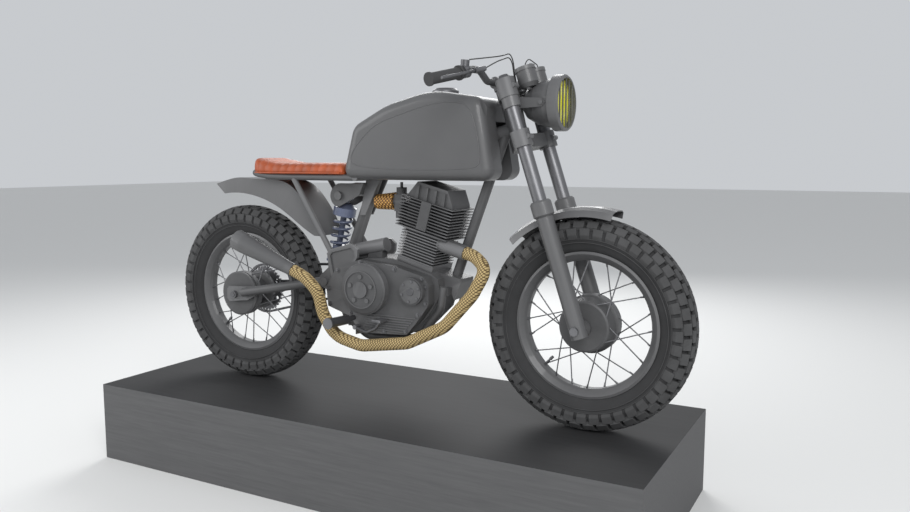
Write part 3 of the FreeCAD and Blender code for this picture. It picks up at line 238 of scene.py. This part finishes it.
def piece(name, verts, faces, body, slot, smooth=True, bevel=0.0):
    """One object that rides on a body, with its finish and, where bevel is set, rounded edges."""
    mesh = bpy.data.meshes.new(name)
    mesh.from_pydata([tuple(v) for v in verts], [], faces)
    bm = bmesh.new()
    bm.from_mesh(mesh)
    bmesh.ops.recalc_face_normals(bm, faces=bm.faces)
    bm.to_mesh(mesh)
    bm.free()
    obj = bpy.data.objects.new(name, mesh)
    bpy.context.collection.objects.link(obj)
    if smooth:
        mesh.shade_smooth()
    if bevel:
        rounding = obj.modifiers.new("edges", "BEVEL")
        rounding.width, rounding.segments, rounding.limit_method = bevel, 2, "ANGLE"
        weighted = obj.modifiers.new("shade", "WEIGHTED_NORMAL")
        weighted.keep_sharp = True
    mesh.materials.append(finishes[slot])
    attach(obj, body)
    return obj


class Builder:
    """Collects vertices and faces of many small solids for one piece."""

    def __init__(self):
        self.verts, self.faces = [], []

    def hull8(self, corners):
        """A block from four corners of its foot and the four above them, in the same order."""
        n = len(self.verts)
        self.verts += corners
        self.faces += [(n, n + 1, n + 2, n + 3), (n + 7, n + 6, n + 5, n + 4)]
        for k in range(4):
            m = (k + 1) % 4
            self.faces.append((n + k, n + 4 + k, n + 4 + m, n + m))

    def prism(self, centre, axis, radius, height, sides=6, top=1.0):
        """A regular prism that rises along axis from centre; top is its upper radius as a share."""
        axis = Vector(axis).normalized()
        across = axis.orthogonal().normalized()
        other = axis.cross(across)
        n = len(self.verts)
        for level, r in ((0, radius), (height, radius * top)):
            for k in range(sides):
                a = FULL_TURN * k / sides
                self.verts.append(centre + axis * level + across * (r * math.cos(a)) + other * (r * math.sin(a)))
        self.faces.append(tuple(range(n, n + sides)))
        self.faces.append(tuple(reversed(range(n + sides, n + 2 * sides))))
        for k in range(sides):
            m = (k + 1) % sides
            self.faces.append((n + k, n + m, n + sides + m, n + sides + k))

    def tube(self, points, radius, sides=8, closed=False):
        """A round tube along points, joined end to end where closed is set."""
        n, count = len(self.verts), len(points)
        for i, point in enumerate(points):
            before = points[i - 1] if (i or closed) else point
            after = points[(i + 1) % count] if (i < count - 1 or closed) else point
            along = (after - before).normalized()
            across = along.cross(LEFT)
            if across.length < NEARLY_PARALLEL:
                across = along.cross(Vector((1, 0, 0)))
            across.normalize()
            other = along.cross(across)
            for k in range(sides):
                a = FULL_TURN * k / sides
                self.verts.append(point + across * (radius * math.cos(a)) + other * (radius * math.sin(a)))
        for i in range(count if closed else count - 1):
            j = (i + 1) % count
            for k in range(sides):
                m = (k + 1) % sides
                self.faces.append((n + i * sides + k, n + i * sides + m, n + j * sides + m, n + j * sides + k))
        if not closed:
            self.faces.append(tuple(range(n, n + sides)))
            self.faces.append(tuple(n + (count - 1) * sides + k for k in range(sides)))

    def make(self, name, body, slot, **kw):
        return piece(name, self.verts, self.faces, body, slot, **kw)


def wheel_point(centre, angle, radius, y):
    return centre + Vector((radius * math.cos(angle), y, radius * math.sin(angle)))


# ---- tyres: a smooth carcass with blocks on its tread and shoulders -----------------------
CARCASS_STEPS = 144
CARCASS = (  # y, and depth below the tyre's own radius, from one bead to the middle
    (-0.0320, 0.104), (-0.0470, 0.078), (-0.0535, 0.056), (-0.0490, 0.036), (-0.0370, 0.0220),
    (-0.0200, 0.0150), (0.0, 0.0135))
CARCASS_INSIDE = ((0.022, 0.106), (-0.022, 0.106))
TREAD_DEPTH = 0.012
BLOCKS = 44
BLOCK_STARTS, BLOCK_ENDS = 0.12, 0.88    # shares of a block's pitch
BLOCK_LEAN = 9                           # share nearer the middle at the foot, per metre of depth
BLOCK_BEVEL = 0.0012
BLOCK_ROWS = (  # y at start and end, depth there below the tyre's own radius, turn in blocks
    (-0.0130, 0.0130, 0.0, 0.0, 0.0),
    (0.0165, 0.0350, 0.0010, 0.0065, 0.5),
    (-0.0350, -0.0165, 0.0065, 0.0010, 0.5),
    (0.0385, 0.0545, 0.0085, 0.0270, 0.0),
    (-0.0545, -0.0385, 0.0270, 0.0085, 0.0),
    (0.0550, 0.0575, 0.0300, 0.0520, 0.5),
    (-0.0575, -0.0550, 0.0520, 0.0300, 0.5),
)
SIDEWALL_LINES = ((0.075, 0.0505), (0.064, 0.0530))    # depth below the radius, and y
SIDEWALL_LINE_R = 0.0012
SIDEWALL_STEPS = 120


def carcass(node, body, centre, radius):
    rings = list(CARCASS) + [(-y, depth) for y, depth in reversed(CARCASS[:-1])] + list(CARCASS_INSIDE)
    count = len(rings)
    verts = [wheel_point(centre, FULL_TURN * k / CARCASS_STEPS, radius - depth, y)
             for k in range(CARCASS_STEPS) for y, depth in rings]
    faces = []
    for k in range(CARCASS_STEPS):
        here, there = k * count, ((k + 1) % CARCASS_STEPS) * count
        for i in range(count):
            j = (i + 1) % count
            faces.append((here + i, here + j, there + j, there + i))
    skin = piece(node + "_carcass", verts, faces, body, "tyre_rubber")
    # the carcass takes the darker copy of the rubber, painted shade for the grooves between the blocks
    skin.data.materials[0] = groove_shade_rubber
    smoother = skin.modifiers.new("round", "SUBSURF")
    smoother.levels = smoother.render_levels = 1
    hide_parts(node)


def tread(node, body, centre, radius):
    blocks = Builder()
    for y0, y1, d0, d1, shift in BLOCK_ROWS:
        for k in range(BLOCKS):
            a0 = FULL_TURN * (k + shift + BLOCK_STARTS) / BLOCKS
            a1 = FULL_TURN * (k + shift + BLOCK_ENDS) / BLOCKS
            blocks.hull8([wheel_point(centre, a, radius - d - sink, y * (1 - sink * BLOCK_LEAN))
                          for sink in (TREAD_DEPTH, 0)
                          for a, y, d in ((a0, y0, d0), (a1, y0, d0), (a1, y1, d1), (a0, y1, d1))])
    blocks.make(node + "_tread", body, "tyre_rubber", smooth=False, bevel=BLOCK_BEVEL)


def sidewall_lines(node, body, centre, radius):
    lines = Builder()
    for side in (-1, 1):
        for depth, y in SIDEWALL_LINES:
            lines.tube([wheel_point(centre, FULL_TURN * k / SIDEWALL_STEPS, radius - depth, side * y)
                        for k in range(SIDEWALL_STEPS)], SIDEWALL_LINE_R, 6, closed=True)
    lines.make(node + "_sidewall_lines", body, "tyre_rubber")


def tyre(node, body):
    low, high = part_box(node)
    centre, radius = (low + high) / 2, (high.x - low.x) / 2
    for make in (carcass, tread, sidewall_lines):
        make(node, body, centre, radius)


# ---- seat: rolled leather pad ---------------------------------------------------------------
SEAT_ALONG, SEAT_AROUND = 200, 40      # rings along the pad, and points round each
SEAT_THICK = 0.036                     # without the hump
SEAT_CORNER = 0.075                    # radius of the rear corners, seen from above
SEAT_END_GAP = 0.002
SEAT_SIDE_GAP = 0.004
SEAT_CROWN = 0.0035
SEAT_PROUD = 0.002                     # most that the pad may rise above its CAD solid
HUMP_LENGTH = 0.15
HUMP_GAP = 0.002
END_ROUND = 0.018                      # length over which both ends are rounded down
END_HEIGHT = 0.45                      # height of the very end, as a share
ROLL_PITCH = 0.0345
ROLL_START = 0.02
ROLL_FULLNESS = 0.55
ROLL_GROOVE = 0.0075                   # dip of the top between two rolls
ROLL_WAIST = 0.0035                    # pull of the sides between two rolls
SIDE_SQUARENESS, TOP_SQUARENESS = 0.28, 0.42
WELT_R = 0.0028
WELT_STEPS = 60
WELT_END_GAP = 0.003
WELT_SIDE_GAP = 0.002
WELT_HEIGHT = 0.004


def seat_half_width(x, low, high):
    """Half the seat's width at x, with its rear corners rounded."""
    half = (high.y - low.y) / 2
    d = SEAT_CORNER - (x - low.x)
    return half if d <= 0 else half - SEAT_CORNER + math.sqrt(max(0.0, SEAT_CORNER ** 2 - d ** 2))


def seat_ring(x, low, high):
    """Points across the pad at x: raised at the rear hump, lower and narrower between two rolls."""
    rear = max(0.0, 1 - (x - low.x) / HUMP_LENGTH)
    hump = (high.z - low.z) - SEAT_THICK
    top = SEAT_THICK + (hump - HUMP_GAP) * (rear * rear * (3 - 2 * rear))
    end = min(1.0, min(x - low.x, high.x - x) / END_ROUND)
    top *= END_HEIGHT + (1 - END_HEIGHT) * math.sqrt(max(0.0, 1 - (1 - end) ** 2))
    phase = ((x - low.x - ROLL_START) / ROLL_PITCH) % 1.0
    groove = 1 - abs(math.sin(math.pi * phase)) ** ROLL_FULLNESS
    top -= ROLL_GROOVE * groove
    half = seat_half_width(x, low, high) - SEAT_SIDE_GAP - ROLL_WAIST * groove
    ring = []
    for k in range(SEAT_AROUND):
        a = math.pi * k / (SEAT_AROUND - 1)
        c, s = math.cos(a), math.sin(a)
        y = half * math.copysign(abs(c) ** SIDE_SQUARENESS, c)
        z = low.z + top * (abs(s) ** TOP_SQUARENESS) + SEAT_CROWN * s * s
        ring.append((x, y, min(z, high.z + SEAT_PROUD)))
    return ring


def seat():
    low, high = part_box("seat")
    length = high.x - low.x
    verts, faces = [], []
    for i in range(SEAT_ALONG + 1):
        verts += seat_ring(low.x + SEAT_END_GAP + (length - 2 * SEAT_END_GAP) * (i / SEAT_ALONG), low, high)
    for i in range(SEAT_ALONG):
        here, there = i * SEAT_AROUND, (i + 1) * SEAT_AROUND
        for k in range(SEAT_AROUND):
            m = (k + 1) % SEAT_AROUND
            faces.append((here + k, here + m, there + m, there + k))
    faces += [tuple(range(SEAT_AROUND)), tuple(SEAT_ALONG * SEAT_AROUND + k for k in range(SEAT_AROUND))]
    pad = piece("seat_pad", verts, faces, "chassis", "seat_leather")
    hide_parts("seat")
    welt_xs = [low.x + WELT_END_GAP + (length - 2 * WELT_END_GAP) * n / WELT_STEPS for n in range(WELT_STEPS + 1)]
    rim = [(x, seat_half_width(x, low, high) - WELT_SIDE_GAP) for x in welt_xs]
    outline = [Vector((x, y, low.z + WELT_HEIGHT)) for x, y in rim]
    outline += [Vector((x, -y, low.z + WELT_HEIGHT)) for x, y in reversed(rim)]
    welt = Builder()
    welt.tube(outline, WELT_R, 8, closed=True)
    welt.make("seat_piping", "chassis", "seat_leather")


# ---- tank side panels' raised outline --------------------------------------------------------
TANK_LINE = (  # corners, as shares of the tank's length and height
    (0.055, 0.13), (0.075, 0.34), (0.19, 0.56), (0.27, 0.67), (0.48, 0.79), (0.66, 0.875), (0.82, 0.87),
    (0.865, 0.80), (0.90, 0.68), (0.945, 0.22), (0.90, 0.12))
TANK_LINE_R = 0.0016
TANK_LINE_SUNK = 0.0002
CORNER_STEPS = (0.15, 0.35, 0.5, 0.65, 0.85)    # places on the curve that rounds each corner


def rounded_loop(corners):
    """Points of a closed line that rounds each corner, from the middle of one side to the next."""
    points = []
    for n, corner in enumerate(corners):
        before = (corners[n - 1] + corner) / 2
        after = (corner + corners[(n + 1) % len(corners)]) / 2
        for t in CORNER_STEPS:
            points.append(before * (1 - t) ** 2 + corner * 2 * t * (1 - t) + after * t * t)
    return points


def tank_lines():
    low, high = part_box("fuel_tank")
    size = high - low
    for side, word in ((-1, "right"), (1, "left")):
        y = side * (size.y / 2 - TANK_LINE_SUNK)
        corners = [Vector((low.x + u * size.x, y, low.z + v * size.z)) for u, v in TANK_LINE]
        line = Builder()
        line.tube(rounded_loop(corners), TANK_LINE_R, 8, closed=True)
        line.make("tank_panel_line_" + word, "chassis", "body_paint")


# ---- engine: cover screws, ribs and caps ---------------------------------------------------------
COVER_SCREWS = (  # mm forward and up from the crankcase's lower rear corner
    (12, 144), (16, 91), (102, 64), (148, 12), (242, 14), (326, 20), (374, 80), (404, 122), (404, 178),
    (390, 202), (282, 228), (146, 242), (50, 210))
BOSS_R, BOSS_H = 0.0085, 0.0035
HEAD_R, HEAD_H = 0.0052, 0.004
HEAD_TAPER = 0.95
SMALL_CAP = (357, 0.5, 161)              # mm from the crankcase's lowest corner
CLUTCH_SCREWS_IN = 0.0235                # further out than the clutch cover's inner face
SINK = 0.001                             # screws and ribs start this far inside the cover
RIB_COUNT = 7
RIB_STARTS_MM, RIB_STARTS_STEP_MM = 158, 3
RIB_ENDS_MM, RIB_ENDS_STEP_MM = 318, 8
RIB_UP_MM, RIB_UP_STEP_MM = 16, 8.5
RIB_PROUD, RIB_THICK = 0.0035, 0.0032


def screw_circle(builder, centre, radius, count, first_deg, head_r, head_h):
    """Hexagonal heads, evenly spaced round a centre, that face right."""
    for n in range(count):
        a = math.radians(360 / count * n + first_deg)
        builder.prism(centre + Vector((radius * math.cos(a), 0, radius * math.sin(a))), RIGHT,
                      head_r, head_h, 6, HEAD_TAPER)


def cover_screws(low, face_y):
    screws = Builder()
    for dx, dz in COVER_SCREWS:
        at = Vector((low.x + dx * MM, face_y + SINK, low.z + dz * MM))
        screws.prism(at, RIGHT, BOSS_R, BOSS_H, 16)
        screws.prism(at + RIGHT * 0.003, RIGHT, HEAD_R, HEAD_H, 6, HEAD_TAPER)
    cap = low + Vector(SMALL_CAP) * MM
    screw_circle(screws, cap, 0.034, 6, 20, 0.005, 0.003)
    screws.prism(cap, RIGHT, 0.014, 0.003, 24, 0.9)
    clutch = middle("clutch_cover")
    clutch.y = face_y - CLUTCH_SCREWS_IN
    screw_circle(screws, clutch, 0.082, 10, 10, 0.0045, 0.0045)
    screws.make("cover_screws", "chassis", "dark_steel", smooth=False, bevel=0.0006)


def cover_ribs(low, face_y):
    ribs = Builder()
    for n in range(RIB_COUNT):
        z = low.z + (RIB_UP_MM + RIB_UP_STEP_MM * n) * MM
        start = low.x + (RIB_STARTS_MM + RIB_STARTS_STEP_MM * n) * MM
        end = low.x + (RIB_ENDS_MM + RIB_ENDS_STEP_MM * n) * MM
        ribs.hull8([Vector((x, y, z + dz)) for y in (face_y + SINK, face_y - RIB_PROUD)
                    for x, dz in ((start, 0), (end, 0), (end, RIB_THICK), (start, RIB_THICK))])
    ribs.make("cover_ribs", "chassis", "engine_metal", smooth=False, bevel=0.0008)


def engine_details():
    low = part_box("crankcase")[0]
    face_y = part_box("clutch_cover")[1].y
    cover_screws(low, face_y)
    cover_ribs(low, face_y)


# ---- wheels: nipples at the rim, one on each spoke, and a valve -----------------------------------
SPOKES_PER_SIDE = 12
SPOKE_LEAN_DEG = 33
RIM_HOLE_R, RIM_HOLE_Y, RIM_HOLE_STAGGER = 0.2025, 0.007, 0.0022
SPOKE_FOOT_R, SPOKE_FOOT_Y = 0.085, 0.035
NIPPLE_R, NIPPLE_LENGTH = 0.0034, 0.014
VALVE_DEG = 225
VALVE_R, VALVE_LENGTH = 0.004, 0.034
VALVE_CAP_R, VALVE_CAP_LENGTH, VALVE_CAP_AT = 0.0052, 0.014, 0.024


def spoke_nipples(rim_node, body, name):
    centre = middle(rim_node)
    nipples = Builder()
    for side in (-1, 1):
        for n in range(SPOKES_PER_SIDE):
            lean = 1 if n % 2 else -1
            angle = FULL_TURN * n / SPOKES_PER_SIDE + (0 if side < 0 else math.pi / SPOKES_PER_SIDE)
            hub_angle = angle + lean * math.radians(SPOKE_LEAN_DEG)
            outer = wheel_point(centre, angle, RIM_HOLE_R, side * RIM_HOLE_Y + lean * RIM_HOLE_STAGGER)
            inner = wheel_point(centre, hub_angle, SPOKE_FOOT_R, side * SPOKE_FOOT_Y)
            nipples.prism(outer, inner - outer, NIPPLE_R, NIPPLE_LENGTH, 8, 0.8)
    valve = wheel_point(centre, math.radians(VALVE_DEG), RIM_HOLE_R, 0)
    inward = centre - valve
    nipples.prism(valve, inward, VALVE_R, VALVE_LENGTH, 10, 0.8)
    nipples.prism(valve + inward.normalized() * VALVE_CAP_AT, inward, VALVE_CAP_R, VALVE_CAP_LENGTH, 12, 0.9)
    nipples.make(name, body, "dark_steel", smooth=False, bevel=0.0004)


# ---- drive chain ------------------------------------------------------------------------------
LINK_PITCH = 0.0127
CHAIN_HALF_T = 0.006                     # half the CAD band's thickness
PIN_R, PIN_LENGTH = 0.0026, 0.0124
ROLLER_R, ROLLER_LENGTH = 0.0042, 0.007
PLATE_END, PLATE_HALF_H, PLATE_T = 0.003, 0.0045, 0.0011
PLATE_Y_OUTER, PLATE_Y_INNER = 0.0052, 0.0040


def chain_line(low, high, rear, front):
    """The length of the line round both sprockets, and a function that gives the point at a distance."""
    y = (low.y + high.y) / 2
    big, small = rear.x - low.x - CHAIN_HALF_T, high.x - front.x - CHAIN_HALF_T
    span = Vector((front.x - rear.x, 0, front.z - rear.z))
    slope = math.atan2(span.z, span.x)
    turn = math.acos((big - small) / span.length)
    straight = math.sqrt(span.length ** 2 - (big - small) ** 2)
    arc_rear, arc_front = 2 * (math.pi - turn) * big, 2 * turn * small
    total = 2 * straight + arc_rear + arc_front

    def at_rear(angle):
        return wheel_point(Vector((rear.x, y, rear.z)), angle, big, 0)

    def at_front(angle):
        return wheel_point(Vector((front.x, y, front.z)), angle, small, 0)

    def point_at(distance):
        distance %= total
        if distance < arc_rear:
            return at_rear(slope + turn + distance / big)
        distance -= arc_rear
        if distance < straight:
            return at_rear(slope - turn).lerp(at_front(slope - turn), distance / straight)
        distance -= straight
        if distance < arc_front:
            return at_front(slope - turn + distance / small)
        distance -= arc_front
        return at_front(slope + turn).lerp(at_rear(slope + turn), distance / straight)

    return total, point_at


def chain():
    """Link plates and rollers along the CAD band's own line round both sprockets."""
    low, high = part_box("drive_chain")
    total, point_at = chain_line(low, high, middle("rear_sprocket"), middle("front_sprocket"))
    count = int(total / LINK_PITCH / 2) * 2
    links = Builder()
    for n in range(count):
        a, b = point_at(n * total / count), point_at((n + 1) * total / count)
        along = (b - a).normalized()
        up = along.cross(LEFT)
        links.prism(a - LEFT * (PIN_LENGTH / 2), LEFT, PIN_R, PIN_LENGTH, 8)
        links.prism(a - LEFT * (ROLLER_LENGTH / 2), LEFT, ROLLER_R, ROLLER_LENGTH, 12)
        plate_y = PLATE_Y_OUTER if n % 2 else PLATE_Y_INNER
        outline = [p + along * end + up * rise for p, end, rise in (
            (a, -PLATE_END, -PLATE_HALF_H), (b, PLATE_END, -PLATE_HALF_H),
            (b, PLATE_END, PLATE_HALF_H), (a, -PLATE_END, PLATE_HALF_H))]
        for side in (-1, 1):
            links.hull8([corner + LEFT * (side * (plate_y + t)) for t in (0, PLATE_T) for corner in outline])
    made = links.make("chain_links", "chassis", "dark_steel", smooth=False, bevel=0.0004)
    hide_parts("drive_chain")


# ---- light, floor, camera ----------------------------------------------------------------------
FLOOR_SIZE, FLOOR_DROP = 60, 0.0005
FLOOR_COLOUR = (0.72, 0.72, 0.71)
SKY_COLOUR, SKY_STRENGTH = (0.93, 0.96, 1.0), 0.62
LAMPS = (  # name, place, height that it points at, size, power
    ("key", (3.2, -3.6, 3.4), 0.7, 2.4, 170),
    ("fill", (-3.4, -2.6, 2.2), 0.7, 2.6, 70),
    ("back", (-1.5, 3.6, 3.0), 0.8, 2.4, 110),
)
SENSOR_MM, LENS_MM = 36.0, 32.04
CAMERA_AHEAD = 2.1934                    # of the rear axle
CAMERA_RIGHT = 2.3777                    # of the machine's middle plane
CAMERA_ABOVE = 0.8438                    # the plinth's top
CAMERA_DOWN_DEG, CAMERA_TURN_DEG = 6.77, 28.52


def area_light(name, place, aim_z, size, power):
    light = bpy.data.lights.new(name, "AREA")
    light.shape, light.size, light.energy = "SQUARE", size, power
    obj = bpy.data.objects.new(name, light)
    bpy.context.collection.objects.link(obj)
    obj.location = place
    obj.rotation_euler = (Vector((0, 0, aim_z)) - Vector(place)).to_track_quat("-Z", "Y").to_euler()


def studio():
    bpy.ops.mesh.primitive_plane_add(size=FLOOR_SIZE, location=(0, 0, -FLOOR_DROP))
    floor = bpy.context.object
    floor.name = "studio_floor"
    floor.data.materials.append(new_material("studio_floor", FLOOR_COLOUR, 0.9)[0])
    world = bpy.data.worlds.new("studio")
    bpy.context.scene.world = world
    world.use_nodes = True
    background = world.node_tree.nodes["Background"]
    background.inputs["Color"].default_value = (*SKY_COLOUR, 1)
    background.inputs["Strength"].default_value = SKY_STRENGTH
    for lamp in LAMPS:
        area_light(*lamp)
    bpy.context.scene.view_settings.view_transform = "Standard"


def camera():
    """Stands off the front right, looking back along the machine and a little down."""
    data = bpy.data.cameras.new("camera")
    data.sensor_width = SENSOR_MM
    data.lens = LENS_MM
    cam = bpy.data.objects.new("camera", data)
    bpy.context.collection.objects.link(cam)
    plinth_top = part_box("plinth")[1].z
    cam.location = (middle("rear_tyre").x + CAMERA_AHEAD, -CAMERA_RIGHT, plinth_top + CAMERA_ABOVE)
    cam.rotation_euler = (math.radians(90 - CAMERA_DOWN_DEG), 0, math.radians(CAMERA_TURN_DEG))
    bpy.context.scene.camera = cam


tyre("front_tyre", "front_wheel")
tyre("rear_tyre", "rear_wheel")
seat()
tank_lines()
engine_details()
spoke_nipples("front_rim", "front_wheel", "front_nipples")
spoke_nipples("rear_rim", "rear_wheel", "rear_nipples")
chain()
studio()
camera()
